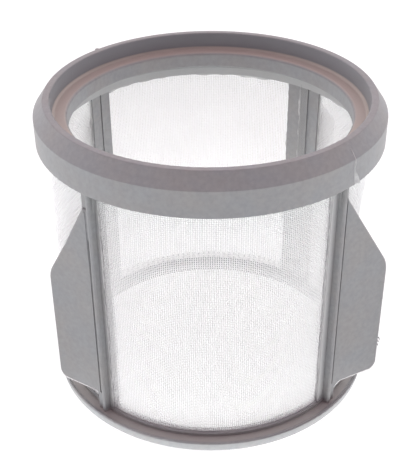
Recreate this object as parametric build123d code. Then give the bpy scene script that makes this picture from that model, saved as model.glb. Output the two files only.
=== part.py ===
from build123d import *
import os
from math import cos, degrees, radians, sin

# Mesh microfilter of a dishwasher sump: a tube of fine woven mesh, open at both ends, held in
# a moulded plastic frame. The frame was moulded round the mesh in one shot: rim, base ring,
# four posts and their wings are one piece, and the mesh runs through it as a whole tube.
#
# Millimetres. The tube's axis is Z and the base ring stands on Z = 0. Azimuth 0 is -Y, the
# front, and azimuth 90 is +X.

# The mesh tube
TOTAL_HEIGHT = 77.5
MESH_R = 38.4
MESH_WALL = 0.3
MESH_SEAT_IN_RIM = 3.3
MESH_SEAT_IN_BASE = 2.15
RIDGE_HEIGHT = 0.2
RIDGE_WIDTH = 0.9
RIDGE_ROOT = 0.2
GAP_WIDTH = 1.7
GAP_COLUMNS = 15
GAP_ROWS = 2
GAP_MARGIN = 1.4
CROSS_RIDGE = 1.6

# The rim: a band, a cone up to a thin crest, a sunk ledge and the ring bore inside it
BAND_OVERHANG = 3.8
BAND_HEIGHT = 6.6
BAND_WALL = 1.7
BAND_ROUND = 0.3
CONE_HEIGHT = 3.6
CONE_RUN = 2.5
CREST_WIDTH = 1.7
CREST_ROUND = 0.35
LEDGE_DEPTH = 4.35
LEDGE_DRAFT = 0.35
LEDGE_CORNER = 0.7
RING_REACH = 3.9
RING_HEIGHT = 4.0
RING_WALL = 1.5
RING_EDGE_ROUND = 0.7
RING_FOOT_ROUND = 0.35
WEB_WALL = 1.55
CHANNEL_ROOF_DROP = 1.3
COLLAR_WALL = 0.7
SKIRT_DROP = 3.45

# The base ring: a low collar on a dished flange, with a bore that widens upwards
BASE_REACH = 2.1
BASE_BORE_HEIGHT = 2.3
BASE_COLLAR_HEIGHT = 3.35
BASE_STEP_HEIGHT = 3.1
FLANGE_OVERHANG = 3.9
FLANGE_HEIGHT = 2.75
FLANGE_FLARE = 0.5
FLANGE_DISH = 0.5
FLANGE_LIP = 0.45
FLANGE_ROUND = 0.3

# The posts: a strip on each face of the mesh, a narrow rib with a rounded nose, and a gusset
# under the band that is wider on the wing's side
FRONT_POST_AZIMUTH = 45.0
BACK_POST_AZIMUTH = 131.5
STRIP_REACH = 3.2
LEFT_WINDOW_STRIP = 1.2
RIGHT_WINDOW_STRIP = 2.7
STRIP_WALL = 0.5
INNER_STRIP_WALL = 0.7
INNER_STRIP_WIDTH = 6.6
RIB_WIDTH = 1.2
RIB_DEPTH = 2.3
RIB_NOSE_ROUND = 0.55
GUSSET_DEPTH = 1.3
GUSSET_REACH = 2.75
RIGHT_GUSSET_REACH = 2.0
GUSSET_WINDOW_REACH = 1.3
GUSSET_WINDOW_DROP = 9.5
GUSSET_WING_DROP = 8.2
GROOVE_WIDTH = 0.5
GROOVE_DEPTH = 0.35
SEAM_GROOVE_WIDTH = 1.2
SEAM_STRIP_WIDTH = 3.9
SEAM_STRIP_WALL = 0.4

# The wings: flat plates that leave the ribs at a tilt outwards from the tangent, with a web
# beside the rib that runs down to the flange
WING_WALL = 1.5
WING_ROOT_OFFSET = 1.4
WING_ROOT_SETBACK = 0.5
WING_INSET = 1.2
WING_WEB = 0.9
WING_FOOT_HEIGHT = 7.6
WING_TIP_ROUND = 2.2
WING_EDGE_ROUND = 0.55
WING_BACK_ROUND = 0.25
WING_GROOVE_WIDTH = 0.8
WING_GROOVE_DEPTH = 0.6
WING_SHOULDER_SHARE = 0.58
LEFT_WING_TILT = 10.0
LEFT_WING_REACH = 12.95
LEFT_WING_DROP = 5.5
LEFT_WING_BEND = 6.25
LEFT_WING_BEND_FALL = 11.75
LEFT_WING_FALL = 21.6
LEFT_FOOT_ROUND = 0.7
LEFT_GROOVE_DROP = 13.5
RIGHT_WING_TILT = 20.0
RIGHT_WING_REACH = 13.6
RIGHT_WING_DROP = 4.7
RIGHT_WING_FALL = 21.9
RIGHT_NECK_ROUND = 4.5
RIGHT_FOOT_ROUND = 2.3
RIGHT_GROOVE_DROP = 1.5
SHORT_WING_TILT = 20.0
SHORT_WING_REACH = 4.9
SHORT_WING_DROP = 5.8
SHORT_WING_FALL = 3.9
SHORT_SHOULDER_SHARE = 0.3
SHORT_FOOT_ROUND = 1.2

# Radii and heights that follow from the sizes above
mesh_outer_r = MESH_R + MESH_WALL
collar_inner_r = MESH_R - COLLAR_WALL
collar_outer_r = mesh_outer_r + COLLAR_WALL
rim_r = mesh_outer_r + BAND_OVERHANG
crest_r = rim_r - CONE_RUN
ring_r = MESH_R - RING_REACH
band_top_z = TOTAL_HEIGHT - CONE_HEIGHT
band_bottom_z = band_top_z - BAND_HEIGHT
ledge_z = TOTAL_HEIGHT - LEDGE_DEPTH
ring_bottom_z = ledge_z - RING_HEIGHT
skirt_bottom_z = ring_bottom_z - SKIRT_DROP
channel_roof_z = band_top_z - CHANNEL_ROOF_DROP
base_r = MESH_R - BASE_REACH
flange_r = mesh_outer_r + FLANGE_OVERHANG
post_foot_z = (FLANGE_HEIGHT - FLANGE_DISH) / 2
sleeve_bottom_z = BASE_COLLAR_HEIGHT - MESH_SEAT_IN_BASE
sleeve_top_z = skirt_bottom_z + MESH_SEAT_IN_RIM


def outlined(corners_and_rounds):
    """Face inside a closed outline, given as ((across, up), corner radius) pairs."""
    corners = [corner for corner, _ in corners_and_rounds]
    rounds = [size for _, size in corners_and_rounds]
    return make_face(FilletPolyline(*corners, radius=rounds, close=True).edges())


def turned(corners_and_rounds, start=0.0, end=360.0):
    """Turn a closed outline of (radius, height) corners about Z, between two azimuths."""
    profile = Plane.XZ * outlined(corners_and_rounds)
    return Rot(0, 0, start - 90.0) * revolve(profile, Axis.Z, end - start)


def turned_wall(inner_r, outer_r, low_z, high_z, start=0.0, end=360.0):
    """Upright wall between two radii and two azimuths."""
    corners = [(inner_r, low_z), (outer_r, low_z), (outer_r, high_z), (inner_r, high_z)]
    return turned([(corner, 0.0) for corner in corners], start, end)


def degrees_for(width, radius):
    """Angle that an arc of this width takes at this radius."""
    return degrees(width / radius)


def rim():
    """Band, cone, crest, ledge, ring bore, and the two collars that grip the mesh."""
    crest_inner_r = crest_r - CREST_WIDTH
    return turned(
        [
            ((rim_r, band_bottom_z), BAND_ROUND),
            ((rim_r, band_top_z), BAND_ROUND),
            ((crest_r, TOTAL_HEIGHT), CREST_ROUND),
            ((crest_inner_r, TOTAL_HEIGHT), CREST_ROUND),
            ((crest_inner_r - LEDGE_DRAFT, ledge_z), LEDGE_CORNER),
            ((ring_r, ledge_z), RING_EDGE_ROUND),
            ((ring_r, ring_bottom_z), RING_FOOT_ROUND),
            ((ring_r + RING_WALL, ring_bottom_z), RING_FOOT_ROUND),
            ((ring_r + RING_WALL, ledge_z - WEB_WALL), 0.0),
            ((collar_inner_r, ledge_z - WEB_WALL), 0.0),
            ((collar_inner_r, skirt_bottom_z), 0.0),
            ((MESH_R, skirt_bottom_z), 0.0),
            ((MESH_R, band_bottom_z), 0.0),
            ((collar_outer_r, band_bottom_z), 0.0),
            ((collar_outer_r, channel_roof_z), 0.0),
            ((rim_r - BAND_WALL, channel_roof_z), 0.0),
            ((rim_r - BAND_WALL, band_bottom_z), 0.0),
        ]
    )


def base_ring():
    """Flange with a flared edge and a dished top, and the stepped collar round its bore."""
    lip_r = flange_r - FLANGE_LIP
    dish_z = FLANGE_HEIGHT - FLANGE_DISH
    return turned(
        [
            ((base_r, 0.0), 0.0),
            ((flange_r - FLANGE_FLARE, 0.0), FLANGE_ROUND),
            ((flange_r, FLANGE_HEIGHT), FLANGE_ROUND),
            ((lip_r, FLANGE_HEIGHT), 0.0),
            ((lip_r - FLANGE_DISH, dish_z), 0.0),
            ((collar_outer_r, dish_z), 0.0),
            ((collar_outer_r, BASE_STEP_HEIGHT), 0.0),
            ((MESH_R, BASE_STEP_HEIGHT), 0.0),
            ((MESH_R, BASE_COLLAR_HEIGHT), 0.0),
            ((collar_inner_r, BASE_COLLAR_HEIGHT), 0.0),
            ((base_r, BASE_BORE_HEIGHT), 0.0),
        ]
    )


def rib():
    """Rib at azimuth 0 from the flange up into the rim's channel, with its rounded nose."""
    half = RIB_WIDTH / 2
    nose_r = mesh_outer_r + RIB_DEPTH
    plan = outlined(
        [
            ((-half, -mesh_outer_r), 0.0),
            ((-half, -nose_r), RIB_NOSE_ROUND),
            ((half, -nose_r), RIB_NOSE_ROUND),
            ((half, -mesh_outer_r), 0.0),
        ]
    )
    return extrude(Pos(0, 0, post_foot_z) * plan, channel_roof_z - post_foot_z)


def gusset(reach):
    """Wedge beside the rib that widens the post up to the band."""
    half = RIB_WIDTH / 2
    face_r = mesh_outer_r + GUSSET_DEPTH
    front = Plane(origin=(0, -face_r, 0), x_dir=(1, 0, 0), z_dir=(0, -1, 0))
    corners = [
        (-GUSSET_WINDOW_REACH, channel_roof_z),
        (-GUSSET_WINDOW_REACH, band_bottom_z),
        (-half / 2, band_bottom_z - GUSSET_WINDOW_DROP),
        (half / 2, band_bottom_z - GUSSET_WINDOW_DROP),
        (reach, band_bottom_z - GUSSET_WING_DROP),
        (reach, channel_roof_z),
    ]
    return extrude(front * outlined([(corner, 0.0) for corner in corners]), -GUSSET_DEPTH)


def strips(window_reach, seam):
    """Strips that the mesh is moulded into, outside and inside, with the centre groove."""
    low_z = BASE_STEP_HEIGHT / 2
    inner_r = MESH_R - INNER_STRIP_WALL
    inner_half = degrees_for(INNER_STRIP_WIDTH / 2, MESH_R)
    outer = turned_wall(
        MESH_R,
        mesh_outer_r + STRIP_WALL,
        low_z,
        channel_roof_z,
        start=-degrees_for(window_reach, mesh_outer_r),
        end=degrees_for(STRIP_REACH, mesh_outer_r),
    )
    inner = turned_wall(inner_r, MESH_R, low_z, ring_bottom_z, start=-inner_half, end=inner_half)
    groove_width = SEAM_GROOVE_WIDTH if seam else GROOVE_WIDTH
    groove_height = skirt_bottom_z - BASE_COLLAR_HEIGHT
    groove = Pos(0, -inner_r, BASE_COLLAR_HEIGHT + groove_height / 2) * Box(
        groove_width, 2 * GROOVE_DEPTH, groove_height
    )
    body = outer + (inner - groove)
    if seam:
        seam_end = inner_half + degrees_for(SEAM_STRIP_WIDTH, MESH_R)
        body += turned_wall(MESH_R - SEAM_STRIP_WALL, MESH_R, low_z, ring_bottom_z, start=-seam_end, end=-inner_half)
    return body


def plate(corners_and_rounds, tilt, groove_drop):
    """Flat plate beside a rib at azimuth 0, from its outline, with its free edges rounded.

    A shallow groove parts its face from the rib, from the foot up to a drop below the band.
    """
    body = extrude(outlined(corners_and_rounds), -WING_WALL)
    for level, size in ((0.0, WING_EDGE_ROUND), (-WING_WALL, WING_BACK_ROUND)):
        rims = body.edges().filter_by_position(Axis.Z, level - 0.01, level + 0.01)
        free = []
        for edge in rims:
            low = edge.bounding_box().min.Y
            high = edge.bounding_box().max.Y
            if edge.center().X > -WING_INSET / 2 and low < band_bottom_z and high > post_foot_z + 0.1:
                free.append(edge)
        body = fillet(free, size)
    groove_height = band_bottom_z - groove_drop - WING_FOOT_HEIGHT
    groove_place = Pos(
        WING_GROOVE_WIDTH / 2 + RIB_WIDTH / 2 - WING_ROOT_OFFSET, WING_FOOT_HEIGHT + groove_height / 2, 0
    )
    body -= groove_place * Box(WING_GROOVE_WIDTH, groove_height, 2 * WING_GROOVE_DEPTH)
    root_r = mesh_outer_r + RIB_DEPTH - WING_ROOT_SETBACK
    along = (cos(radians(tilt)), -sin(radians(tilt)), 0)
    outwards = (-sin(radians(tilt)), -cos(radians(tilt)), 0)
    face_plane = Plane(origin=(WING_ROOT_OFFSET, -root_r, 0), x_dir=along, z_dir=outwards)
    return face_plane.location * body


def wing_foot(reach, foot_round):
    """Lower corners that every wing shares, from its tip to the web's foot on the flange."""
    return [
        ((reach, WING_FOOT_HEIGHT), min(WING_TIP_ROUND, 0.4 * (reach - WING_WEB))),
        ((WING_WEB, WING_FOOT_HEIGHT), foot_round),
        ((WING_WEB, post_foot_z), 0.0),
        ((-WING_INSET, post_foot_z), 0.0),
    ]


def left_wing():
    """Large wing whose slope ends in a corner just below the gusset's face."""
    top_z = band_bottom_z - LEFT_WING_DROP
    upper = [
        ((-WING_INSET, top_z), 0.0),
        ((WING_WEB, top_z), WING_EDGE_ROUND / 2),
        ((WING_WEB + LEFT_WING_BEND, top_z - LEFT_WING_BEND_FALL), 0.0),
        ((LEFT_WING_REACH, top_z - LEFT_WING_FALL), WING_SHOULDER_SHARE * LEFT_WING_REACH),
    ]
    return plate(upper + wing_foot(LEFT_WING_REACH, LEFT_FOOT_ROUND), LEFT_WING_TILT, LEFT_GROOVE_DROP)


def right_wing():
    """Large wing whose slope sweeps up beside the rib into the rim's channel."""
    top_z = band_bottom_z - RIGHT_WING_DROP
    upper = [
        ((-WING_INSET, channel_roof_z), 0.0),
        ((0.0, channel_roof_z), 0.0),
        ((0.0, top_z), RIGHT_NECK_ROUND),
        ((RIGHT_WING_REACH, top_z - RIGHT_WING_FALL), WING_SHOULDER_SHARE * RIGHT_WING_REACH),
    ]
    return plate(upper + wing_foot(RIGHT_WING_REACH, RIGHT_FOOT_ROUND), RIGHT_WING_TILT, RIGHT_GROOVE_DROP)


def short_wing():
    """Small wing of a back post."""
    top_z = band_bottom_z - SHORT_WING_DROP
    upper = [
        ((-WING_INSET, top_z), 0.0),
        ((WING_WEB, top_z), WING_EDGE_ROUND / 2),
        ((SHORT_WING_REACH, top_z - SHORT_WING_FALL), SHORT_SHOULDER_SHARE * SHORT_WING_REACH),
    ]
    return plate(upper + wing_foot(SHORT_WING_REACH, SHORT_FOOT_ROUND), SHORT_WING_TILT, LEFT_GROOVE_DROP)


def post(azimuth, wing, window_reach, gusset_reach, mirrored, seam=False):
    """One post at its azimuth: strips, rib, gusset and wing, mirrored where the wing points back."""
    body = strips(window_reach, seam) + rib() + gusset(gusset_reach) + wing
    if mirrored:
        body = mirror(body, Plane.YZ)
    return Rot(0, 0, azimuth) * body


def mesh_wall():
    """Plain tube that the mesh takes up, from its seat in the base to its seat in the rim."""
    return turned_wall(MESH_R, mesh_outer_r, sleeve_bottom_z, sleeve_top_z)


def moulded_frame():
    """The whole moulding, with the slot that the mesh tube fills."""
    posts = [
        post(-FRONT_POST_AZIMUTH, left_wing(), LEFT_WINDOW_STRIP, GUSSET_REACH, mirrored=True),
        post(FRONT_POST_AZIMUTH, right_wing(), RIGHT_WINDOW_STRIP, RIGHT_GUSSET_REACH, mirrored=False),
        post(BACK_POST_AZIMUTH, short_wing(), STRIP_REACH, GUSSET_REACH, mirrored=True, seam=True),
        post(-BACK_POST_AZIMUTH, short_wing(), STRIP_REACH, GUSSET_REACH, mirrored=False),
    ]
    body = rim() + base_ring()
    for each in posts:
        body += each
    return body - mesh_wall()


def windows():
    """Azimuth where each open panel of mesh starts and ends, clear of the posts' strips."""
    clear = degrees_for(max(STRIP_REACH, INNER_STRIP_WIDTH / 2) + GAP_MARGIN, MESH_R)
    seam = degrees_for(SEAM_STRIP_WIDTH, MESH_R)
    return [
        (-FRONT_POST_AZIMUTH + clear, FRONT_POST_AZIMUTH - clear),
        (FRONT_POST_AZIMUTH + clear, BACK_POST_AZIMUTH - clear),
        (BACK_POST_AZIMUTH + clear + seam, 360.0 - BACK_POST_AZIMUTH - clear),
        (360.0 - BACK_POST_AZIMUTH + clear, 360.0 - FRONT_POST_AZIMUTH - clear),
    ]


def mesh_sleeve():
    """Mesh tube: rows of gaps in a thin wall, with a ridge between columns and one between rows."""
    low_z = BASE_COLLAR_HEIGHT + GAP_MARGIN
    high_z = skirt_bottom_z - GAP_MARGIN
    row_height = (high_z - low_z) / GAP_ROWS
    gap_height = row_height - CROSS_RIDGE
    middle_r = MESH_R + MESH_WALL / 2
    ridge_r = mesh_outer_r + (RIDGE_HEIGHT - RIDGE_ROOT) / 2
    gap_tool = Box(GAP_WIDTH, 4 * MESH_WALL, gap_height)
    ridge_tool = Box(RIDGE_WIDTH, RIDGE_HEIGHT + RIDGE_ROOT, high_z - low_z)
    gaps = []
    ridges = []
    for start, end in windows():
        pitch = (end - start) / GAP_COLUMNS
        for column in range(GAP_COLUMNS):
            turn = Rot(0, 0, start + (column + 0.5) * pitch)
            for row in range(GAP_ROWS):
                gaps.append(turn * Pos(0, -middle_r, low_z + (row + 0.5) * row_height) * gap_tool)
        for line in range(GAP_COLUMNS + 1):
            turn = Rot(0, 0, start + line * pitch)
            ridges.append(turn * Pos(0, -ridge_r, (low_z + high_z) / 2) * ridge_tool)
        for row in range(1, GAP_ROWS):
            level = low_z + row * row_height
            ridges.append(
                turned_wall(
                    mesh_outer_r - RIDGE_ROOT,
                    mesh_outer_r + RIDGE_HEIGHT / 2,
                    level - CROSS_RIDGE / 2,
                    level + CROSS_RIDGE / 2,
                    start,
                    end,
                )
            )
    return mesh_wall().fuse(*ridges).cut(*gaps)


os.makedirs("parts", exist_ok=True)
nodes = {
    "moulded_frame": moulded_frame(),
    "mesh_sleeve": mesh_sleeve(),
}
for name, solid in nodes.items():
    export_step(solid, os.path.join("parts", name + ".step"))
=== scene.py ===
"""Looks of a mesh microfilter: woven polymer mesh in a grey moulded frame, on a white sweep.

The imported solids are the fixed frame, in metres, with the filter's axis on Z, its base ring on
Z = 0 and its front at -Y. Azimuths are in degrees, 0 at -Y and 90 at +X.
"""

from __future__ import annotations

import logging
import math
from dataclasses import dataclass
from enum import Enum

import bpy
import numpy as np
from mathutils import Matrix

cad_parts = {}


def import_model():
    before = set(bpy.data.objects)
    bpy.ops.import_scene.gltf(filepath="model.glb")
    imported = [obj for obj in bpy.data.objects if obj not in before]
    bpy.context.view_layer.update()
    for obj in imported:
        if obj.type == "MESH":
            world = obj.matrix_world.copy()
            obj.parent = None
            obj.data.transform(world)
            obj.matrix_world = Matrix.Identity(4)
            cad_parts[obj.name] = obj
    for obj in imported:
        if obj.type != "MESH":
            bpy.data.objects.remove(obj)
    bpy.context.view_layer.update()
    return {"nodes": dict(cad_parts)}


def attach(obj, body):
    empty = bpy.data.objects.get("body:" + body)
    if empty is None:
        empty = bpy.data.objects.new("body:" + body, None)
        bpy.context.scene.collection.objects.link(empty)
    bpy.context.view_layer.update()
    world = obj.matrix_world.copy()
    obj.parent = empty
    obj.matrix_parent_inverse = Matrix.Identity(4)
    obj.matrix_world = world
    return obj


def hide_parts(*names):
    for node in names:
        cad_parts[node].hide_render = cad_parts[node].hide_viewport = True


LOG = logging.getLogger("microfilter")
MM = 0.001
Colour = tuple[float, float, float]
POSTS = (-45.0, 45.0, 131.5, 228.5)
PLASTIC_IOR = 1.49


class Node(Enum):
    """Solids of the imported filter."""

    FRAME = "moulded_frame"
    SLEEVE = "mesh_sleeve"


class Slot(Enum):
    """Material slots of the record."""

    PLASTIC = "frame_plastic"
    MESH = "filter_mesh"


def radial(azimuth: np.ndarray) -> np.ndarray:
    """Outward unit vectors (sin a, -cos a, 0).

    Args:
        azimuth: Angles in radians, of any shape.

    Returns:
        Array of the same shape with a last axis of three.
    """
    return np.stack([np.sin(azimuth), -np.cos(azimuth), np.zeros_like(azimuth)], axis=-1)


def tangent(azimuth: np.ndarray) -> np.ndarray:
    """Unit vectors along growing azimuth, (cos a, sin a, 0).

    Args:
        azimuth: Angles in radians, of any shape.

    Returns:
        Array of the same shape with a last axis of three.
    """
    return np.stack([np.cos(azimuth), np.sin(azimuth), np.zeros_like(azimuth)], axis=-1)


def mesh_object(name: str, vertices: np.ndarray, faces: list[np.ndarray]) -> bpy.types.Object:
    """A mesh object at the origin with interpolated normals, linked to the scene.

    Args:
        name: Name of the object and of its mesh.
        vertices: (N, 3) points in metres.
        faces: Index arrays, one for each face size, such as quads and triangles.

    Returns:
        The new object.
    """
    data = bpy.data.meshes.new(name)
    data.from_pydata(vertices.tolist(), [], [row for block in faces for row in block.tolist()])
    data.shade_smooth()
    piece = bpy.data.objects.new(name, data)
    bpy.context.scene.collection.objects.link(piece)
    return piece


def tube_faces(tubes: int, rings: int, sides: int) -> tuple[np.ndarray, np.ndarray]:
    """Faces of many capped tubes whose vertices are ordered tube, ring, side.

    Args:
        tubes: How many tubes.
        rings: Rings of vertices along each tube.
        sides: Vertices in each ring, three for a triangular cap.

    Returns:
        Quads of the walls and triangles of the caps.
    """
    counts = (np.arange(tubes), np.arange(rings - 1), np.arange(sides))
    tube, ring, side = np.meshgrid(*counts, indexing="ij")
    here = (tube * rings + ring) * sides
    after = (side + 1) % sides
    beyond = here + sides
    walls = np.stack([here + side, here + after, beyond + after, beyond + side], axis=-1)
    first = np.arange(tubes)[:, None] * rings * sides
    start_caps = first + np.arange(sides)[None, ::-1]
    end_caps = first + (rings - 1) * sides + np.arange(sides)[None, :]
    return walls.reshape(-1, 4), np.concatenate([start_caps, end_caps])


def wedge_object(name: str, rings: np.ndarray) -> bpy.types.Object:
    """A closed sliver of triangular section, given its three corners at each ring.

    The sum of a . (b x c) over its triangles is six times its volume. Where that is negative
    the corners are taken in the other order, so that the faces point outwards.

    Args:
        name: Name of the object.
        rings: (rings, 3, 3) corners in metres.

    Returns:
        The new object.
    """
    walls, caps = tube_faces(1, len(rings), 3)
    corners = rings.reshape(-1, 3)
    triangles = np.concatenate([walls[:, [0, 1, 2]], walls[:, [0, 2, 3]], caps])
    first, second, third = (corners[triangles[:, k]] for k in range(3))
    if np.einsum("ij,ij->", first, np.cross(second, third)) < 0:
        walls, caps = walls[:, ::-1], caps[:, ::-1]
    piece = mesh_object(name, corners, [walls, caps])
    piece.data.shade_flat()
    return piece


def ragged(along: np.ndarray, size: float, seed: float) -> np.ndarray:
    """Uneven edge, size (0.5 + the sum of three waves of u), with u = along + seed.

    The waves are 0.2 sin(u), 0.16 sin(2.7 u + 1.3 seed) and 0.14 sin(7.1 u + 2.1 seed).

    Args:
        along: Distance along the edge in units of its longest wave.
        size: Largest reach of the edge.
        seed: Phase that makes one edge unlike another.

    Returns:
        Reach at each place, from 0 to the size.
    """
    u = along + seed
    waves = ((0.2, 1.0, 0.0), (0.16, 2.7, 1.3), (0.14, 7.1, 2.1))
    return size * (0.5 + sum(part * np.sin(pace * u + lag * seed) for part, pace, lag in waves))


def windows(margin: float) -> list[tuple[float, float]]:
    """Azimuths at which each window between two posts starts and ends.

    Args:
        margin: Degrees left free beside each post.

    Returns:
        One pair for each window, from the front one round by the right.
    """
    ends = (*POSTS[1:], POSTS[0] + 360.0)
    return [(start + margin, end - margin) for start, end in zip(POSTS, ends)]


def fan(azimuth: np.ndarray, radii: list[object], heights: list[object]) -> np.ndarray:
    """Corners of a sliver that runs round the tube, each at its radius and height.

    Args:
        azimuth: (rings,) angles in radians.
        radii: Three radii, each a number or an array (rings,).
        heights: Three heights, each a number or an array (rings,).

    Returns:
        (rings, 3, 3) corners.
    """
    spread = [np.broadcast_to(radius, azimuth.shape)[:, None] * radial(azimuth) for radius in radii]
    corners = np.stack(spread, axis=1)
    corners[..., 2] = np.stack([np.broadcast_to(z, azimuth.shape) for z in heights], axis=1)
    return corners


@dataclass(frozen=True)
class Spot:
    """Sockets for a surface point: place, radius and height in metres, azimuth in degrees."""

    place: bpy.types.NodeSocket
    radius: bpy.types.NodeSocket
    height: bpy.types.NodeSocket
    turn: bpy.types.NodeSocket


class Nodes:
    """Short calls for making and joining the nodes of one material."""

    def __init__(self, name: str) -> None:
        """Start an empty material.

        Args:
            name: Name of the material.
        """
        self.material = bpy.data.materials.new(name)
        self.material.use_nodes = True
        self.tree = self.material.node_tree
        self.tree.nodes.clear()

    def add(self, kind: str, **inputs: object) -> bpy.types.Node:
        """Add a node and set or link its inputs.

        Args:
            kind: Node type without its ShaderNode prefix.
            inputs: Input names with underscores for spaces; a socket is linked, a value is set.

        Returns:
            The new node.
        """
        node = self.tree.nodes.new("ShaderNode" + kind)
        for key, value in inputs.items():
            socket = node.inputs[key.replace("_", " ")]
            if isinstance(value, bpy.types.NodeSocket):
                self.tree.links.new(value, socket)
            else:
                socket.default_value = value
        return node

    def spot(self) -> Spot:
        """Where on the object a point lies, with r = sqrt(x x + y y) and turn = atan2(x, -y).

        Returns:
            Its sockets.
        """
        place = self.add("TexCoord").outputs["Object"]
        parts = self.add("SeparateXYZ", Vector=place)
        x, y, z = (parts.outputs[axis] for axis in "XYZ")
        squares = self.math("ADD", self.math("MULTIPLY", x, x), self.math("MULTIPLY", y, y))
        radius = self.math("SQRT", squares, 0.0)
        turn = self.math("ARCTAN2", x, self.math("MULTIPLY", y, -1.0))
        return Spot(place, radius, z, self.math("MULTIPLY", turn, 180 / math.pi))

    def noise(
        self, place: bpy.types.NodeSocket, size: float, detail: float, roughness: float = 0.5
    ) -> bpy.types.NodeSocket:
        """Noise over the object.

        Args:
            place: Socket of the point's place.
            size: Size of its largest patches, in metres.
            detail: How many finer layers it has.
            roughness: How strong they are.

        Returns:
            Its value socket.
        """
        node = self.add(
            "TexNoise", Vector=place, Scale=1 / size, Detail=detail, Roughness=roughness
        )
        return node.outputs["Fac"]

    def remap(
        self,
        value: bpy.types.NodeSocket,
        source: tuple[float, float],
        target: tuple[float, float] = (0.0, 1.0),
    ) -> bpy.types.NodeSocket:
        """A value moved from one range to another and held inside it.

        Args:
            value: Socket to move.
            source: Values that become the target's two ends.
            target: The two ends.

        Returns:
            The value socket.
        """
        node = self.add(
            "MapRange",
            Value=value,
            From_Min=source[0],
            From_Max=source[1],
            To_Min=target[0],
            To_Max=target[1],
        )
        return node.outputs["Result"]

    def mix(
        self, factor: bpy.types.NodeSocket, base: object, colour: Colour
    ) -> bpy.types.NodeSocket:
        """A colour mixed into another.

        Args:
            factor: Socket with the second colour's share.
            base: First colour, a socket or three numbers.
            colour: Second colour.

        Returns:
            The colour socket.
        """
        first = base if isinstance(base, bpy.types.NodeSocket) else (*base, 1.0)
        return self.add("MixRGB", Fac=factor, Color1=first, Color2=(*colour, 1.0)).outputs["Color"]

    def bump(
        self,
        height: bpy.types.NodeSocket,
        strength: float,
        depth: float,
        below: bpy.types.NodeSocket | None = None,
    ) -> bpy.types.NodeSocket:
        """Fine relief, laid over another where there is one.

        Args:
            height: Socket of the relief's height, from 0 to 1.
            strength: Its strength.
            depth: Its depth in metres.
            below: Normal of the relief below it.

        Returns:
            The normal socket.
        """
        node = self.add("Bump", Height=height, Strength=strength, Distance=depth)
        if below is not None:
            self.tree.links.new(below, node.inputs["Normal"])
        return node.outputs["Normal"]

    def ramp(
        self, factor: bpy.types.NodeSocket, stops: list[tuple[float, Colour]]
    ) -> bpy.types.NodeSocket:
        """A colour ramp over a factor.

        Args:
            factor: Socket with values from 0 to 1.
            stops: Positions with their colours.

        Returns:
            The ramp's colour socket.
        """
        node = self.add("ValToRGB", Fac=factor)
        elements = node.color_ramp.elements
        while len(elements) < len(stops):
            elements.new(0.5)
        for element, (position, colour) in zip(elements, stops):
            element.position = position
            element.color = (*colour, 1.0)
        return node.outputs["Color"]

    def math(self, operation: str, first: object, second: object) -> bpy.types.NodeSocket:
        """One step of arithmetic.

        Args:
            operation: Name of the Math node's operation.
            first: Socket or number.
            second: Socket or number.

        Returns:
            The value socket.
        """
        node = self.add("Math")
        node.operation = operation
        for socket, value in zip(node.inputs, (first, second)):
            if isinstance(value, bpy.types.NodeSocket):
                self.tree.links.new(value, socket)
            else:
                socket.default_value = value
        return node.outputs["Value"]

    def finish(self, shader: bpy.types.NodeSocket) -> bpy.types.Material:
        """Join the shader to the output.

        Args:
            shader: Shader socket for the surface.

        Returns:
            The finished material.
        """
        self.add("OutputMaterial", Surface=shader)
        return self.material


@dataclass(frozen=True)
class Zone:
    """Part of the moulding between two radii and two heights in millimetres, with soft bounds."""

    radii: tuple[float, float]
    heights: tuple[float, float]
    soft_radius: float = 0.05
    soft_height: float = 0.1


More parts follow.
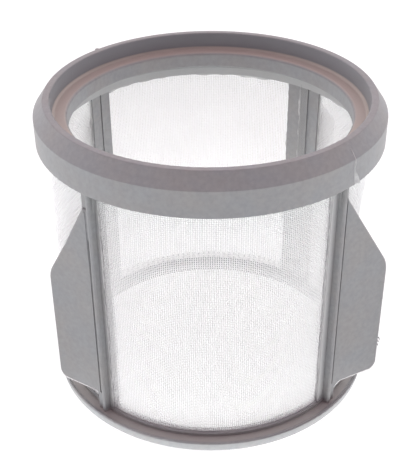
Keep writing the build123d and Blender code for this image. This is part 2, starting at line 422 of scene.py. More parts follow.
@dataclass(frozen=True)
class MouldedPlastic:
    """Grey satin polypropylene with a fine spark-eroded grain, flow marks and light rubs.

    The strips' outer skin pales with its distance in degrees from the nearest post: partly the thin
    skin over the white mesh, partly painted light that the mesh throws back, less of it by the
    post's rib. The collar's foot pales too, and the strips' faces that lie behind the white mesh
    are painted pale with the light that reaches them through the mesh. The sunk ledge is painted a
    warm glow, light let through its thin web from below, and the flange's dish has a lighter,
    warmer tone. The crest's inner wall is painted darker, as painted shade in the rim's hollow.
    Half of the seam's strip shows the weave that is moulded into it.
    """

    cool: Colour = (0.290, 0.298, 0.306)
    warm: Colour = (0.308, 0.302, 0.297)
    tone_stops: tuple[float, float] = (0.35, 0.65)
    # Pale tone of thin skin; on the strips its share grows away from the posts and is partly
    # painted light thrown back by the white mesh.
    skin: Colour = (0.56, 0.56, 0.555)
    # Painted warm glow on the sunk ledge: light let through its thin web from below.
    ledge: Colour = (0.445, 0.40, 0.355)
    dish: Colour = (0.35, 0.337, 0.322)
    # Painted shade: the crest's inner wall is darker only as shade in the rim's hollow.
    painted_wall_shade: Colour = (0.245, 0.25, 0.262)
    # Painted light: the strips' faces behind the white mesh are made pale for the light that
    # reaches them through it.
    painted_light_behind_mesh: Colour = (0.78, 0.78, 0.77)
    skin_zone: Zone = Zone((38.66, 39.24), (3.3, 67.2))
    collar_zone: Zone = Zone((37.6, 38.5), (65.75, 67.6), soft_height=0.25)
    backed_zone: Zone = Zone((38.32, 38.48), (2.0, 65.6), soft_radius=0.04)
    ledge_zone: Zone = Zone((35.1, 38.0), (72.9, 73.6), 0.5, 0.3)
    dish_zone: Zone = Zone((39.45, 41.2), (0.6, 2.9), 0.2, 0.2)
    wall_zone: Zone = Zone((37.9, 38.34), (73.9, 77.2), 0.05, 0.4)
    seam_zone: Zone = Zone((37.4, 38.2), (2.0, 65.6), soft_radius=0.1)
    seam_turn: tuple[float, float] = (132.5, 136.2)
    posts: tuple[float, float] = (45.0, 131.5)
    paling: tuple[float, float] = (1.0, 4.2)
    collar_share: float = 0.6
    seam_share: float = 0.3
    speckle: float = 0.06
    speckle_size: float = 1.1 * MM
    speckle_range: tuple[float, float] = (0.3, 0.7)
    roughness: tuple[float, float] = (0.40, 0.52)
    patch_size: float = 9 * MM
    grain_size: float = 0.28 * MM
    grain_depth: float = 0.02 * MM
    rub_size: float = 1.6 * MM
    rub_lean: tuple[float, float, float] = (0.5, 0.35, 0.2)
    rub_stretch: float = 0.12
    rub_range: tuple[float, float] = (0.66, 0.74)
    rub_depth: float = 0.02 * MM
    weave_pitch: float = 0.5 * MM
    weave_depth: float = 0.1 * MM
    strip_r: float = 37.7 * MM

    def between(
        self, nodes: Nodes, value: bpy.types.NodeSocket, bounds: tuple[float, float], soft: float
    ) -> bpy.types.NodeSocket:
        """1 where a value lies between two bounds, with a soft step at each.

        Args:
            nodes: Node maker.
            value: Socket to test.
            bounds: Lower and upper bound.
            soft: Width of each step, outside the bound.

        Returns:
            The value socket.
        """
        low, high = bounds
        rise = nodes.remap(value, (low - soft, low))
        return nodes.math("MULTIPLY", rise, nodes.remap(value, (high + soft, high)))

    def inside(self, nodes: Nodes, spot: Spot, zone: Zone) -> bpy.types.NodeSocket:
        """1 inside a zone, with a soft step at each bound.

        Args:
            nodes: Node maker.
            spot: Sockets of the surface's point.
            zone: The zone.

        Returns:
            The value socket.
        """
        radii = tuple(MM * bound for bound in zone.radii)
        heights = tuple(MM * bound for bound in zone.heights)
        across = self.between(nodes, spot.radius, radii, zone.soft_radius * MM)
        upward = self.between(nodes, spot.height, heights, zone.soft_height * MM)
        return nodes.math("MULTIPLY", across, upward)

    def on_seam(self, nodes: Nodes, spot: Spot) -> bpy.types.NodeSocket:
        """1 on the half of the seam's strip that shows the weave.

        Args:
            nodes: Node maker.
            spot: Sockets of the surface's point.

        Returns:
            The value socket.
        """
        turned = self.between(nodes, spot.turn, self.seam_turn, 0.1)
        return nodes.math("MULTIPLY", turned, self.inside(nodes, spot, self.seam_zone))

    def paleness(self, nodes: Nodes, spot: Spot) -> bpy.types.NodeSocket:
        """Share of the skin's pale tone; on the strips it is partly painted light from the white
        mesh.

        Args:
            nodes: Node maker.
            spot: Sockets of the surface's point.

        Returns:
            The value socket.
        """
        side = nodes.math("ABSOLUTE", spot.turn, 0.0)
        offsets = (nodes.math("SUBTRACT", side, post) for post in self.posts)
        nearest = nodes.math("MINIMUM", *(nodes.math("ABSOLUTE", gap, 0.0) for gap in offsets))
        paling = nodes.remap(nearest, self.paling)
        strips = nodes.math("MULTIPLY", self.inside(nodes, spot, self.skin_zone), paling)
        foot = self.inside(nodes, spot, self.collar_zone)
        collar = nodes.math("MULTIPLY", foot, self.collar_share)
        seam = nodes.math("MULTIPLY", self.on_seam(nodes, spot), self.seam_share)
        return nodes.math("MAXIMUM", nodes.math("MAXIMUM", strips, collar), seam)

    def tone(
        self, nodes: Nodes, spot: Spot, patches: bpy.types.NodeSocket
    ) -> bpy.types.NodeSocket:
        """Colour of the plastic, from its slow patches to the zones over them, among them painted
        light and painted shade.

        Args:
            nodes: Node maker.
            spot: Sockets of the surface's point.
            patches: Socket of the slow patches.

        Returns:
            The colour socket.
        """
        colour = nodes.ramp(patches, list(zip(self.tone_stops, (self.cool, self.warm))))
        specks = nodes.noise(spot.place, self.speckle_size, 2.0)
        shade = nodes.remap(specks, self.speckle_range, (1 - self.speckle, 1 + self.speckle))
        spotted = nodes.add("VectorMath", Vector=colour)
        spotted.operation = "SCALE"
        nodes.tree.links.new(shade, spotted.inputs["Scale"])
        colour = spotted.outputs["Vector"]
        tints = (
            (self.dish_zone, self.dish),
            # Painted shade on the crest's inner wall.
            (self.wall_zone, self.painted_wall_shade),
            # Painted warm glow on the sunk ledge.
            (self.ledge_zone, self.ledge),
        )
        for zone, tint in tints:
            colour = nodes.mix(self.inside(nodes, spot, zone), colour, tint)
        # Partly painted light: the strips' skin pales away from the posts' ribs as the white mesh
        # lights it.
        colour = nodes.mix(self.paleness(nodes, spot), colour, self.skin)
        # Painted light on the strips' faces that lie behind the white mesh.
        return nodes.mix(self.inside(nodes, spot, self.backed_zone), colour, self.painted_light_behind_mesh)

    def relief(self, nodes: Nodes, spot: Spot) -> bpy.types.NodeSocket:
        """Fine relief: the weave's print, sin(across) sin(up), then rubs, then grain.

        Args:
            nodes: Node maker.
            spot: Sockets of the surface's point.

        Returns:
            The normal socket.
        """
        wave = 2 * math.pi / self.weave_pitch
        across = nodes.math("MULTIPLY", spot.turn, math.radians(1) * self.strip_r * wave)
        up = nodes.math("MULTIPLY", spot.height, wave)
        waves = (nodes.math("SINE", phase, 0.0) for phase in (across, up))
        weave = nodes.math("MULTIPLY", nodes.math("MULTIPLY", *waves), self.on_seam(nodes, spot))
        printed = nodes.bump(weave, 1.0, self.weave_depth)
        lengthwise = (1.0, 1.0, self.rub_stretch)
        stretched = nodes.add(
            "Mapping", Vector=spot.place, Rotation=self.rub_lean, Scale=lengthwise
        )
        streaks = nodes.noise(stretched.outputs["Vector"], self.rub_size, 3.0)
        rubbed = nodes.bump(nodes.remap(streaks, self.rub_range), 0.5, self.rub_depth, printed)
        grain = nodes.noise(spot.place, self.grain_size, 2.0)
        return nodes.bump(grain, 0.6, self.grain_depth, rubbed)

    def build(self) -> bpy.types.Material:
        """Make the material.

        Returns:
            Material with its tones, slow patches, rubs and grain.
        """
        nodes = Nodes("grey_moulded_plastic")
        spot = nodes.spot()
        patches = nodes.noise(spot.place, self.patch_size, 5.0, 0.6)
        shader = nodes.add(
            "BsdfPrincipled",
            Base_Color=self.tone(nodes, spot, patches),
            Roughness=nodes.remap(patches, (0.0, 1.0), self.roughness),
            Normal=self.relief(nodes, spot),
            IOR=PLASTIC_IOR,
        )
        return nodes.finish(shader.outputs["BSDF"])


@dataclass(frozen=True)
class ThinPlastic:
    """Plastic so thin that light goes through it: a skin, a wire or a pale sliver that paints a
    highlight, mottled in tone.
    """

    name: str
    first: Colour
    second: Colour
    stops: tuple[float, float] = (0.38, 0.62)
    patch_size: float = 2.5 * MM
    roughness: float = 0.5
    ior: float = PLASTIC_IOR
    scatter: float = 0.0
    scatter_reach: float = 0.4 * MM

    def build(self) -> bpy.types.Material:
        """Make the material.

        Returns:
            Material with patches of tone, a soft gloss and some light let through.
        """
        nodes = Nodes(self.name)
        place = nodes.add("TexCoord").outputs["Object"]
        patches = nodes.noise(place, self.patch_size, 3.0)
        shader = nodes.add(
            "BsdfPrincipled",
            Base_Color=nodes.ramp(patches, list(zip(self.stops, (self.first, self.second)))),
            Roughness=self.roughness,
            IOR=self.ior,
            Subsurface_Weight=self.scatter,
            Subsurface_Radius=(1.0, 1.0, 1.0),
            Subsurface_Scale=self.scatter_reach,
        )
        return nodes.finish(shader.outputs["BSDF"])


def wire_finish(name: str, white: Colour, cream: Colour, scatter: float) -> ThinPlastic:
    """Clear-to-white polyester monofilament, slightly creamy where it varies.

    Args:
        name: Name of the material.
        white: Its whiter tone.
        cream: Its creamier tone.
        scatter: Share of the light that goes through it.

    Returns:
        Its finish.
    """
    return ThinPlastic(
        name,
        white,
        cream,
        stops=(0.35, 0.7),
        patch_size=14 * MM,
        roughness=0.4,
        ior=1.4,
        scatter=scatter,
        scatter_reach=0.3 * MM,
    )


SKIN = ThinPlastic("thin_plastic_skin", (0.46, 0.455, 0.46), (0.60, 0.60, 0.59))
# Painted highlight: near-white finish for the slivers on the wings' lower edges, where the rounded
# edge catches the bright floor.
EDGE_HIGHLIGHT = ThinPlastic("pale_edge_highlight", (0.74, 0.74, 0.73), (0.86, 0.86, 0.85), scatter=0.8)
RING_WIRE = wire_finish("white_ring_wire", (0.985, 0.985, 0.972), (0.97, 0.966, 0.948), 0.85)
# Painted shade: the upright wires are the same white wire as the ring wires, given a darker copy of
# its finish.
SHADED_UPRIGHT_WIRE = wire_finish("shaded_upright_wire", (0.90, 0.90, 0.89), (0.88, 0.877, 0.862), 0.7)


@dataclass
class WovenPanel:
    """Plain weave between two posts: upright wires and ring wires, crimped over each other."""

    name: str
    start: float
    end: float
    belly: tuple[tuple[float, float], ...] = ((0.0, 0.0), (1.0, 0.0))
    low: float = 2.2 * MM
    high: float = 67.9 * MM
    radius: float = 38.55 * MM
    pitch: float = 0.5 * MM
    crimp: float = 0.1 * MM
    upright_wire: float = 0.25 * MM
    ring_wire: float = 0.16 * MM
    wander: float = 0.12 * MM
    wander_length: float = 61 * MM
    belly_power: float = 1.2
    sides: int = 3

    def place(
        self, across: np.ndarray, up: np.ndarray, lift: np.ndarray
    ) -> tuple[np.ndarray, np.ndarray]:
        """Points of the weave, which wanders a little as a woven cloth does.

        a = start + (across + w sin(2 pi up / length + start)) / R, z = low + up + w sin(3 a),
        and the point is (R + lift + b(z) sin(pi s) to the belly's power) radial(a) + z, where b
        is the belly at that height and s the share of the way from post to post.

        Args:
            across: Distance round the tube from the panel's start, in metres.
            up: Height above the panel's lower edge, in metres.
            lift: Distance of the wire's centre from the tube's mean radius.

        Returns:
            The points and their azimuths in radians.
        """
        start = math.radians(self.start)
        slip = self.wander * np.sin(2 * np.pi * up / self.wander_length + start)
        azimuth = start + (across + slip) / self.radius
        height = self.low + up + self.wander * np.sin(3 * azimuth)
        share = np.clip((azimuth - start) / math.radians(self.end - self.start), 0, 1)
        knots, sizes = np.array(self.belly).T
        belly = np.interp(up / (self.high - self.low), knots, sizes) * MM
        bulge = belly * np.sin(np.pi * share) ** self.belly_power
        points = (self.radius + lift + bulge)[..., None] * radial(azimuth)
        points[..., 2] = height
        return points, azimuth

    def tubes(
        self, centres: np.ndarray, first: np.ndarray, second: np.ndarray, wire: float
    ) -> np.ndarray:
        """Vertices of the wires, c + k (cos(t) first + sin(t) second).

        k is set so that a wire of few sides is as wide on average as the round one.

        Args:
            centres: (wires, rings, 3) points of the wires' centre lines.
            first: Unit vectors across the wires, same shape.
            second: Unit vectors across both, same shape.
            wire: The wires' diameter.

        Returns:
            (wires * rings * sides, 3) vertices.
        """
        reach = wire / 2 * (math.pi / self.sides) / math.sin(math.pi / self.sides)
        turn = 2 * np.pi * np.arange(self.sides) / self.sides
        offset = np.cos(turn)[:, None] * first[..., None, :]
        offset = offset + np.sin(turn)[:, None] * second[..., None, :]
        return (centres[..., None, :] + reach * offset).reshape(-1, 3)

    def build(self) -> bpy.types.Object:
        """Weave the panel.

        An upright wire i is lifted by +h (-1)^(i+j) where it crosses ring wire j, and the ring
        wire by -h (-1)^(i+j), with h the crimp, so that they pass over and under.

        Returns:
            The panel's object.
        """
        width = math.radians(self.end - self.start) * self.radius
        columns = int(width / self.pitch)
        rows = int((self.high - self.low) / self.pitch)
        across = (np.arange(columns) + 0.5) * width / columns
        up = (np.arange(rows) + 0.5) * (self.high - self.low) / rows
        parity = (-1.0) ** (np.arange(columns)[:, None] + np.arange(rows)[None, :])
        spread, rise = np.meshgrid(across, up, indexing="ij")
        lift = self.crimp * parity
        upright, azimuth = self.place(spread, rise, lift)
        rings, _ = self.place(spread, rise, -lift)
        out, along = radial(azimuth), tangent(azimuth)
        vertical = np.zeros_like(out)
        vertical[..., 2] = 1.0
        warp = self.tubes(upright, out, along, self.upright_wire)
        by_rows = (field.transpose(1, 0, 2) for field in (rings, vertical, out))
        weft = self.tubes(*by_rows, self.ring_wire)
        warp_walls, warp_caps = tube_faces(columns, rows, self.sides)
        weft_walls, weft_caps = tube_faces(rows, columns, self.sides)
        vertices = np.concatenate([warp, weft])
        walls = np.concatenate([warp_walls, weft_walls + len(warp)])
        caps = np.concatenate([warp_caps, weft_caps + len(warp)])
        piece = mesh_object(self.name, vertices, [walls, caps])
        is_ring = np.concatenate([walls[:, 0], caps[:, 0]]) >= len(warp)
        piece.data.polygons.foreach_set("material_index", is_ring.astype(np.int32))
        return piece

    def dress(
        self, piece: bpy.types.Object, upright: bpy.types.Material, ring: bpy.types.Material
    ) -> None:
        """Give the panel its finishes and let it stand for the plain mesh wall.

        Args:
            piece: The woven panel.
            upright: Finish of the upright wires, which is the mesh's first and darker as painted
                shade.
            ring: Finish of the ring wires.
        """
        piece.data.materials.append(upright)
        piece.data.materials.append(ring)
        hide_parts(Node.SLEEVE.value)
        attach(piece, "root")


@dataclass
class FilterMesh:
    """The whole mesh tube, as four woven panels between the posts.

    The left panel stands out a little between its posts and the right one is drawn in, given
    as (share of the height, millimetres) knots.
    """

    tuck: float = 1.0
    names: tuple[str, ...] = ("front", "right", "back", "left")
    bellies: tuple[tuple[tuple[float, float], ...], ...] = (
        ((0.0, 0.0), (0.1, 0.1), (0.5, 0.15), (0.9, 0.1), (1.0, 0.0)),
        (
            *((0.0, 0.0), (0.08, -0.5), (0.2, -0.9), (0.5, -1.0), (0.7, -0.85)),
            *((0.8, -0.25), (0.88, 0.3), (0.95, 0.15), (1.0, 0.0)),
        ),
        ((0.0, 0.0), (1.0, 0.0)),
        (
            *((0.0, 0.0), (0.05, 0.45), (0.12, 0.9), (0.3, 1.22), (0.5, 1.27)),
            *((0.7, 1.22), (0.84, 1.08), (0.93, 0.55), (1.0, 0.0)),
        ),
    )

    def build(self, upright: bpy.types.Material, ring: bpy.types.Material) -> None:
        """Weave and dress every panel.

        Args:
            upright: Upright wires' finish, darker as painted shade, but for the back's, which the
                light washes out.
            ring: Finish of the ring wires.
        """
        for name, (start, end), belly in zip(self.names, windows(self.tuck), self.bellies):
            panel = WovenPanel(f"woven_mesh_{name}", start, end, belly)
            piece = panel.build()
            panel.dress(piece, ring if name == "back" else upright, ring)
            LOG.info("%s: %d faces", piece.name, len(piece.data.polygons))


def dress_wedge(name: str, corners: np.ndarray, material: bpy.types.Material) -> None:
    """Make a sliver of plastic, give it its finish and let it ride on the object.

    Args:
        name: Name of the piece.
        corners: (rings, 3, 3) corners in metres.
        material: Its finish.
    """
    piece = wedge_object(name, corners)
    piece.data.materials.append(material)
    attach(piece, "root")


@dataclass(frozen=True)
class RoundSkin:
    """Skin that runs round the tube in a window, from two roots to a tip with a ragged reach."""

    margin: float
    radii: tuple[float, float, float]
    root: float
    tip: float
    creep: float
    waves: float
    seed_step: float
    rings: int = 420

    def corners(self, number: int) -> np.ndarray:
        """Its corners in one window.

        Args:
            number: Which window.

        Returns:
            (rings, 3, 3) corners.
        """
        azimuth = np.radians(np.linspace(*windows(self.margin)[number], self.rings))
        creep = ragged(azimuth * self.waves, self.creep * MM, self.seed_step * number)
        heights = [self.root * MM, self.tip * MM + creep, self.root * MM]
        return fan(azimuth, [radius * MM for radius in self.radii], heights)


COLLAR_SKIN = RoundSkin(4.5, (37.85, 38.30, 38.50), 66.15, 65.75, -0.95, 6, 1.7)
FOOT_SKIN = RoundSkin(1.2, (38.2, 38.8, 39.3), 2.95, 3.2, 0.12, 11, 2.9)


@dataclass
class SkinFlash:
    """Thin skins of plastic that crept along the mesh from the rings and the strips."""

    inner: tuple[float, float, float] = (38.0 * MM, 38.33 * MM, 38.45 * MM)
    outer: tuple[float, float, float] = (38.7 * MM, 38.8 * MM, 39.12 * MM)
    seam: tuple[float, float, float] = (37.62 * MM, 37.85 * MM, 38.1 * MM)
    inner_half: float = 4.92
    seam_width: float = 5.81
    seam_ridge: float = 4.85
    left_window: float = 1.78
    right_window: float = 4.0
    strip_low: float = 2.6 * MM
    strip_high: float = 66.5 * MM
    strip_creep: float = 0.55 * MM
    strip_wave: float = 3.5 * MM
    strip_root: float = 0.3 * MM
    rings: int = 420

    def beside_strip(
        self, edge: float, way: float, radii: tuple[float, float, float], seed: float
    ) -> np.ndarray:
        """Corners of a skin along a strip's upright edge.

        Args:
            edge: Azimuth of the strip's edge in degrees.
            way: 1 or -1, the way in which the skin creeps round the tube.
            radii: Radii of the inner root, the tip and the outer root.
            seed: Phase of its edge.

        Returns:
            (rings, 3, 3) corners.
        """
        height = np.linspace(self.strip_low, self.strip_high, self.rings)
        creep = ragged(height / self.strip_wave, self.strip_creep, seed)
        root = np.full_like(height, math.radians(edge) - way * self.strip_root / radii[1])
        tip = math.radians(edge) + way * creep / radii[1]
        corners = np.stack([r * radial(a) for r, a in zip(radii, (root, tip, root))], axis=1)
        corners[..., 2] = height[:, None]
        return corners

    def build(self, skin: bpy.types.Material, plastic: bpy.types.Material) -> None:
        """Make and dress every skin.

        Args:
            skin: Finish of the thin plastic.
            plastic: The frame's plastic, for the skin round the foot.
        """
        for number in range(len(POSTS)):
            dress_wedge(f"collar_skin_{number}", COLLAR_SKIN.corners(number), skin)
            dress_wedge(f"foot_skin_{number}", FOOT_SKIN.corners(number), plastic)
        left, right, back_right, back_left = POSTS
        strips = (
            (left + self.left_window, 1.0, self.outer),
            (right - self.right_window, -1.0, self.outer),
            (back_right - self.inner_half, -1.0, self.inner),
            (back_right + self.inner_half + self.seam_width, 1.0, self.inner),
            (back_right + self.seam_ridge, 1.0, self.seam),
            (back_left - self.inner_half, -1.0, self.inner),
            (back_left + self.inner_half, 1.0, self.inner),
        )
        for number, (edge, way, radii) in enumerate(strips):
            corners = self.beside_strip(edge, way, radii, 2.3 * number)
            dress_wedge(f"strip_skin_{number}", corners, skin)
        LOG.info("thin skins: %d", 2 * len(POSTS) + len(strips))


@dataclass(frozen=True)
class Burr:
    """Hooked sliver on a wing's tip: its root, its reach and how far it hooks down, in mm."""

    name: str
    root: tuple[float, float, float]
    reach: tuple[float, float, float]
    droop: float
    thick: float = 0.2
    thinnest: float = 0.02
    rings: int = 9

    def corners(self) -> np.ndarray:
        """Triangles round the curve root + t reach - droop t squared, thinning with 1 - t.

        Returns:
            (rings, 3, 3) corners.
        """
        t = np.linspace(0, 1, self.rings)[:, None]
        hook = self.droop * t**2 * np.array([0.0, 0.0, 1.0])
        middle = np.array(self.root) + t * np.array(self.reach) - hook
        thick = self.thick * (1 - t) ** 0.6 + self.thinnest
        turn = 2 * np.pi * np.arange(3) / 3
        spread = np.stack([np.cos(turn), 0.6 * np.cos(turn), np.sin(turn)], axis=1)
        return (middle[:, None, :] + thick[..., None] * spread[None]) * MM


HOOK = Burr("wing_burr_hook", (41.75, -21.75, 17.4), (0.66, 0.25, -0.2), 1.1)
CURL = Burr("wing_burr_curl", (41.6, -21.9, 16.6), (0.45, -0.5, -0.5), -0.3)
STUB = Burr("wing_burr_stub", (41.65, -21.85, 15.4), (0.35, 0.1, -0.6), 0.2)


@dataclass
class MouldingMarks:
    """Parting flash with its tab on the rim, a nick on the crest and burrs on a wing's tip."""

    parting: float = 44.5
    tab_turn: float = 2.0
    crest_r: float = 39.95 * MM
    band_r: float = 42.5 * MM
    crest_z: float = 77.3 * MM
    shoulder_z: float = 73.9 * MM
    tab_top: float = 72.0 * MM
    band_low: float = 67.45 * MM
    line_width: float = 0.22 * MM
    line_height: float = 0.2 * MM
    tab_width: float = 1.25 * MM
    tab_height: float = 0.85 * MM
    rings: int = 60
    nick_span: tuple[float, float] = (-136.6, -133.9)
    nick_radii: tuple[float, float, float] = (39.25 * MM, 39.75 * MM, 40.2 * MM)
    nick_heights: tuple[float, float, float] = (77.35 * MM, 77.1 * MM, 76.9 * MM)
    nick_proud: float = 0.55 * MM
    nick_rings: int = 14
    highest: float = 77.49 * MM

    def parting_flash(self) -> np.ndarray:
        """Ridge down the cone and the band that swells into a tab at the band's lower edge.

        Over the tab's height, with t from 0 at its top to 1, the half width and the height grow
        with t to the power 1.3 and shrink again over the last tenth. Both the ridge's course
        and its height waver a little.

        Returns:
            (rings, 3, 3) corners.
        """
        height = np.linspace(self.crest_z, self.band_low, self.rings)
        rim = ([self.shoulder_z, self.crest_z], [self.band_r, self.crest_r])
        surface = np.interp(height, *rim)
        t = np.clip((self.tab_top - height) / (self.tab_top - self.band_low), 0, 1)
        swell = t**1.3 * np.interp(t, [0.9, 1.0], [1.0, 0.35])
        course = self.parting + self.tab_turn * t**1.5 + 0.15 * np.sin(height / (0.9 * MM))
        azimuth = np.radians(course)
        half = self.line_width + (self.tab_width - self.line_width) * swell
        proud = self.line_height * (1 + 0.4 * np.sin(height / (0.5 * MM)))
        proud = proud + (self.tab_height - self.line_height) * swell
        foot = (surface - 0.1 * MM)[:, None] * radial(azimuth)
        along = half[:, None] * tangent(azimuth)
        crest = (surface + proud)[:, None] * radial(azimuth) + 0.35 * along
        corners = np.stack([foot - along, crest, foot + along], axis=1)
        corners[..., 2] = height[:, None]
        return corners

    def crest_nick(self) -> np.ndarray:
        """Small raised lip on the crest's outer edge at the back left, no higher than the crest.

        Returns:
            (rings, 3, 3) corners.
        """
        share = np.linspace(0, 1, self.nick_rings)
        azimuth = np.radians(np.linspace(*self.nick_span, self.nick_rings))
        proud = self.nick_proud * np.sin(np.pi * share) ** 0.5 * (0.5 + 0.5 * share)
        inner, tip, outer = self.nick_radii
        behind, top, below = self.nick_heights
        corners = fan(azimuth, [inner, tip + 2.0 * proud, outer], [behind, top + proud, below])
        corners[..., 2] = np.minimum(corners[..., 2], self.highest)
        return corners

    def build(self, plastic: bpy.types.Material, skin: bpy.types.Material) -> None:
        """Make and dress every mark.

        Args:
            plastic: The frame's plastic.
            skin: Finish of thin plastic.
        """
        dress_wedge("parting_flash", self.parting_flash(), skin)
        dress_wedge("crest_nick", self.crest_nick(), plastic)
        for burr, finish in ((HOOK, plastic), (CURL, skin), (STUB, plastic)):
            dress_wedge(burr.name, burr.corners(), finish)
        LOG.info("moulding marks: made")


@dataclass
class WingTrims:
    """Small forms on a large wing: a rolled edge, a pale sliver underneath that paints a highlight,
    the groove's floor.

    Lengths are in millimetres on the wing's face, s from its root and z upwards.
    """

    name: str
    azimuth: float
    side: float
    tilt: float
    tip: float
    foot_round: float
    groove_top: float
    rolled: bool
    root_offset: float = 1.4
    root_r: float = 40.5
    web: float = 0.9
    foot: float = 7.6
    tip_round: float = 2.2
    highlight_inset: float = 0.05
    highlight_half: float = 0.22
    highlight_lifts: tuple[float, float, float] = (-0.45, -0.3, 0.36)
    groove_middle: float = -0.4
    groove_half: float = 0.42
    groove_lifts: tuple[float, float] = (-0.25, -0.58)
    plate_top: float = 60.7
    roll_start: tuple[float, float] = (0.03, 41.0)
    roll_round: float = 0.5
    roll_half: float = 0.24
    roll_lifts: tuple[float, float, float] = (-0.15, -0.05, 0.22)
    edge_rings: int = 30

    def ridge(self, path: np.ndarray, half: np.ndarray, low: float, high: np.ndarray) -> np.ndarray:
        """Corners of a ridge along a path on the wing's face.

        With t the tilt, a point (s, z) lifted by h off the face is, before it is mirrored to its
        side and turned to its post, (offset + s cos t - h sin t, -(root + s sin t + h cos t), z).

        Args:
            path: (n, 2) points (s, z) in millimetres.
            half: (n,) half widths.
            low: Lift of the ridge's two feet.
            high: (n,) lifts of its crest.

        Returns:
            (n, 3, 3) corners in metres.
        """
        course = np.gradient(path, axis=0)
        course /= np.linalg.norm(course, axis=1)[:, None]
        across = np.stack([-course[:, 1], course[:, 0]], axis=1) * half[:, None]
        flat = np.stack([path - across, path, path + across], axis=1)
        lift = np.stack([np.full_like(half, low), high, np.full_like(half, low)], axis=1)
        t, a = math.radians(self.tilt), math.radians(self.azimuth)
        x = self.side * (self.root_offset + flat[..., 0] * math.cos(t) - lift * math.sin(t))
        y = -(self.root_r + flat[..., 0] * math.sin(t) + lift * math.cos(t))
        turned_x = x * math.cos(a) - y * math.sin(a)
        turned_y = x * math.sin(a) + y * math.cos(a)
        return np.stack([turned_x, turned_y, flat[..., 1]], axis=-1) * MM

    def arc(
        self, middle: tuple[float, float], radius: float, start: float, end: float
    ) -> np.ndarray:
        """Points of an arc, middle + radius (cos a, sin a), from one angle to another.

        Args:
            middle: Its centre.
            radius: Its radius.
            start: First angle in degrees.
            end: Last angle in degrees.

        Returns:
            (12, 2) points.
        """
        angle = np.radians(np.linspace(start, end, 12))
        return np.array(middle) + radius * np.stack([np.cos(angle), np.sin(angle)], axis=1)

    def lower_edge_highlight(self) -> np.ndarray:
        """Painted highlight: a pale sliver along the wing's lower edge, from the web round to the
        tip.

        Returns:
            (rings, 3, 3) corners.
        """
        inset, small, large = self.highlight_inset, self.foot_round, self.tip_round
        bend, shoulder = self.web + small, self.tip - large
        web = self.arc((bend, self.foot - small), small + inset, 178.0, 92.0)
        run = np.linspace((bend + 0.2, self.foot + inset), (shoulder, self.foot + inset), 40)
        tip = self.arc((shoulder, self.foot + large), large - inset, -88.0, -25.0)
        path = np.concatenate([web, run, tip])
        share = np.linspace(0, 1, len(path))
        fade = np.clip(np.minimum(share * 12, (1 - share) * 8), 0.1, 1)
        half = (self.highlight_half + 0.05 * np.sin(share * 40)) * fade
        foot, edge, swell = self.highlight_lifts
        return self.ridge(path, half, foot, edge + swell * fade)

    def groove_floor(self) -> np.ndarray:
        """Floor of the groove between the wing's plate and its rib, a little below the face.

        Returns:
            (rings, 3, 3) corners.
        """
        ends = [(self.groove_middle, top) for top in (self.foot + 0.05, self.groove_top)]
        path = np.linspace(*ends, self.edge_rings)
        half = np.full(self.edge_rings, self.groove_half)
        floor, keel = self.groove_lifts
        return self.ridge(path, half, floor, np.full(self.edge_rings, keel))

    def rolled_edge(self) -> np.ndarray:
        """Rolled edge beside the groove, which turns over the plate's upper corner and fades out.

        Returns:
            (rings, 3, 3) corners.
        """
        edge, low = self.roll_start
        up = np.linspace((edge, low), (edge, self.plate_top), self.edge_rings)
        over = self.arc((edge + self.roll_round, self.plate_top), self.roll_round, 176.0, 75.0)
        path = np.concatenate([up, over])
        share = np.linspace(0, 1, len(path))
        fade = np.clip(np.minimum(share * 3, (1 - share) * 8), 0.05, 1)
        foot, crest, swell = self.roll_lifts
        return self.ridge(path, self.roll_half * (0.5 + 0.5 * fade), foot, crest + swell * fade)

    def build(self, plastic: bpy.types.Material, flash: bpy.types.Material) -> None:
        """Make and dress the wing's trims.

        Args:
            plastic: The frame's plastic.
            flash: Finish of the pale sliver that paints the lower edge's highlight.
        """
        # Painted highlight along the wing's lower edge.
        dress_wedge(f"{self.name}_lower_edge_highlight", self.lower_edge_highlight(), flash)
        dress_wedge(f"{self.name}_groove_floor", self.groove_floor(), plastic)
        if self.rolled:
            dress_wedge(f"{self.name}_rolled_edge", self.rolled_edge(), plastic)
        LOG.info("%s: trims", self.name)


LEFT_TRIMS = WingTrims("left_wing", -45.0, -1.0, 10.0, 12.95, 0.7, 53.75, rolled=True)
RIGHT_TRIMS = WingTrims("right_wing", 45.0, 1.0, 20.0, 13.6, 2.3, 65.7, rolled=False)


@dataclass
class MouldedFrame:
    """The moulding itself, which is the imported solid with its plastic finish."""

    solid: bpy.types.Object

    def dress(self, material: bpy.types.Material) -> None:
        """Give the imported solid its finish.

        Args:
            material: The plastic.
        """
        self.solid.data.materials.clear()
        self.solid.data.materials.append(material)
        LOG.info("%s: %d faces", self.solid.name, len(self.solid.data.polygons))


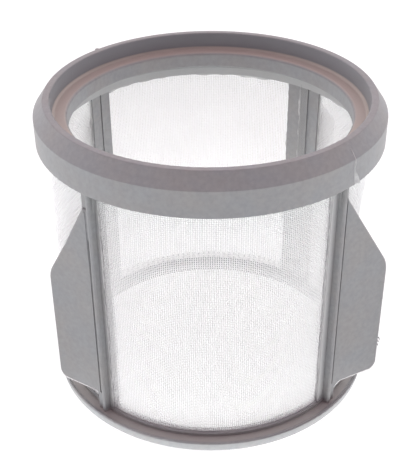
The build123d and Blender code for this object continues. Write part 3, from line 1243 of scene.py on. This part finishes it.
@dataclass
class Studio:
    """White sweep that lights the object from below and behind, under a dimmer, warmer ceiling."""

    front: Colour = (0.07, 0.075, 0.11)
    back: Colour = (2.1, 2.1, 2.15)
    front_to_back: tuple[float, float] = (-0.65, 0.35)
    zenith: Colour = (0.755, 0.455, 0.545)
    zenith_power: float = 2.2
    floor_size: float = 3.0
    floor_peak: float = 3.2
    floor_tint: Colour = (0.98, 1.0, 1.01)
    floor_reach: float = 0.3
    floor_tones: tuple[tuple[float, float], ...] = (
        *((0.0, 1.0), (0.12, 1.0), (0.15, 1.0), (0.172, 0.44)),
        *((0.215, 0.33), (0.4, 0.58), (0.85, 0.54), (1.0, 0.48)),
    )
    shadow_share: float = 0.25
    own_share: float = 0.875

    def seen_directly(self, nodes: Nodes) -> bpy.types.NodeSocket:
        """1 for camera, glossy and transmitted rays, which see the white background.

        Args:
            nodes: Node maker of the material or world.

        Returns:
            The value socket.
        """
        path = nodes.add("LightPath").outputs
        shiny = nodes.math("MAXIMUM", path["Is Glossy Ray"], path["Is Transmission Ray"])
        return nodes.math("MAXIMUM", path["Is Camera Ray"], shiny)

    def light_world(self) -> None:
        """White behind the object and, as light, dim in front, bright behind and warm above."""
        world = bpy.data.worlds.new("white_surround")
        bpy.context.scene.world = world
        world.use_nodes = True
        nodes = Nodes("world_nodes")
        bpy.data.materials.remove(nodes.material)
        nodes.tree = world.node_tree
        nodes.tree.nodes.clear()
        direction = nodes.add("SeparateXYZ", Vector=nodes.add("TexCoord").outputs["Generated"])
        behind = nodes.remap(direction.outputs["Y"], self.front_to_back)
        horizon = nodes.mix(behind, self.front, self.back)
        height = nodes.math("MAXIMUM", direction.outputs["Z"], 0.0)
        height = nodes.math("POWER", height, self.zenith_power)
        sky = nodes.mix(height, horizon, self.zenith)
        colour = nodes.mix(self.seen_directly(nodes), sky, (1.0, 1.0, 1.0))
        light = nodes.add("Background", Color=colour, Strength=1.0)
        nodes.add("OutputWorld", Surface=light.outputs["Background"])

    def lay_floor(self) -> None:
        """Floor that the camera sees white with a faint shadow, and that glows round the base."""
        square = np.array([[-1, -1, 0], [1, -1, 0], [1, 1, 0], [-1, 1, 0]])
        corners = square * self.floor_size / 2
        floor = mesh_object("studio_floor", corners, [np.array([[0, 1, 2, 3]])])
        nodes = Nodes("white_sweep")
        place = nodes.add("TexCoord").outputs["Object"]
        distance = nodes.add("VectorMath", Vector=place)
        distance.operation = "LENGTH"
        share = nodes.math("DIVIDE", distance.outputs["Value"], self.floor_reach)
        tint = np.array(self.floor_tint)
        glow = nodes.ramp(share, [(at, tuple(tone * tint)) for at, tone in self.floor_tones])
        as_light = nodes.add("Emission", Color=glow, Strength=self.floor_peak)
        white = nodes.add("Emission", Color=(1.0, 1.0, 1.0, 1.0), Strength=self.own_share)
        shade = nodes.add("BsdfDiffuse", Color=(*[self.shadow_share] * 3, 1.0))
        as_seen = nodes.add("AddShader")
        nodes.tree.links.new(white.outputs["Emission"], as_seen.inputs[0])
        nodes.tree.links.new(shade.outputs["BSDF"], as_seen.inputs[1])
        both = nodes.add("MixShader", Fac=self.seen_directly(nodes))
        nodes.tree.links.new(as_light.outputs["Emission"], both.inputs[1])
        nodes.tree.links.new(as_seen.outputs["Shader"], both.inputs[2])
        floor.data.materials.append(nodes.finish(both.outputs["Shader"]))

    def build(self) -> None:
        """Make the world and the floor, and keep colours as they are written."""
        self.light_world()
        self.lay_floor()
        bpy.context.scene.view_settings.view_transform = "Standard"
        LOG.info("studio: world and floor")


@dataclass
class PhotoCamera:
    """Camera at the photograph's viewpoint, found by fitting the rims' circles."""

    distance: float = 206.93 * MM
    height: float = 169.23 * MM
    turn: float = -3.0
    yaw: float = 0.13
    look_down: float = 32.73
    roll: float = -0.25
    long_side_px: float = 470.0
    focal_px: float = 933.1
    sensor: float = 36.0

    def build(self) -> None:
        """Place the camera and make it the scene's."""
        lens = bpy.data.cameras.new("photo_camera")
        lens.sensor_width = self.sensor
        lens.lens = self.focal_px / self.long_side_px * self.sensor
        lens.clip_start = 0.01
        camera = bpy.data.objects.new("photo_camera", lens)
        bpy.context.scene.collection.objects.link(camera)
        azimuth = math.radians(self.turn)
        away = (self.distance * math.sin(azimuth), -self.distance * math.cos(azimuth), self.height)
        place = Matrix.Translation(away)
        heading = Matrix.Rotation(math.radians(self.turn + self.yaw), 4, "Z")
        tilt = Matrix.Rotation(math.radians(90.0 - self.look_down), 4, "X")
        lean = Matrix.Rotation(math.radians(self.roll), 4, "Z")
        camera.matrix_world = place @ heading @ tilt @ lean
        bpy.context.scene.camera = camera
        LOG.info("camera: lens %.2f mm", lens.lens)


def main() -> None:
    """Build the camera, the studio, the frame's finish and the woven mesh."""
    logging.basicConfig(level=logging.INFO, format="%(name)s: %(message)s")
    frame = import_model()
    PhotoCamera().build()
    Studio().build()
    # flash is the near-white finish that paints the highlight on the wings' lower edges.
    plastic, skin, flash = MouldedPlastic().build(), SKIN.build(), EDGE_HIGHLIGHT.build()
    MouldedFrame(frame["nodes"][Node.FRAME.value]).dress(plastic)
    FilterMesh().build(SHADED_UPRIGHT_WIRE.build(), RING_WIRE.build())
    SkinFlash().build(skin, plastic)
    MouldingMarks().build(plastic, skin)
    LEFT_TRIMS.build(plastic, flash)
    RIGHT_TRIMS.build(plastic, flash)


if __name__ == "__main__":
    main()
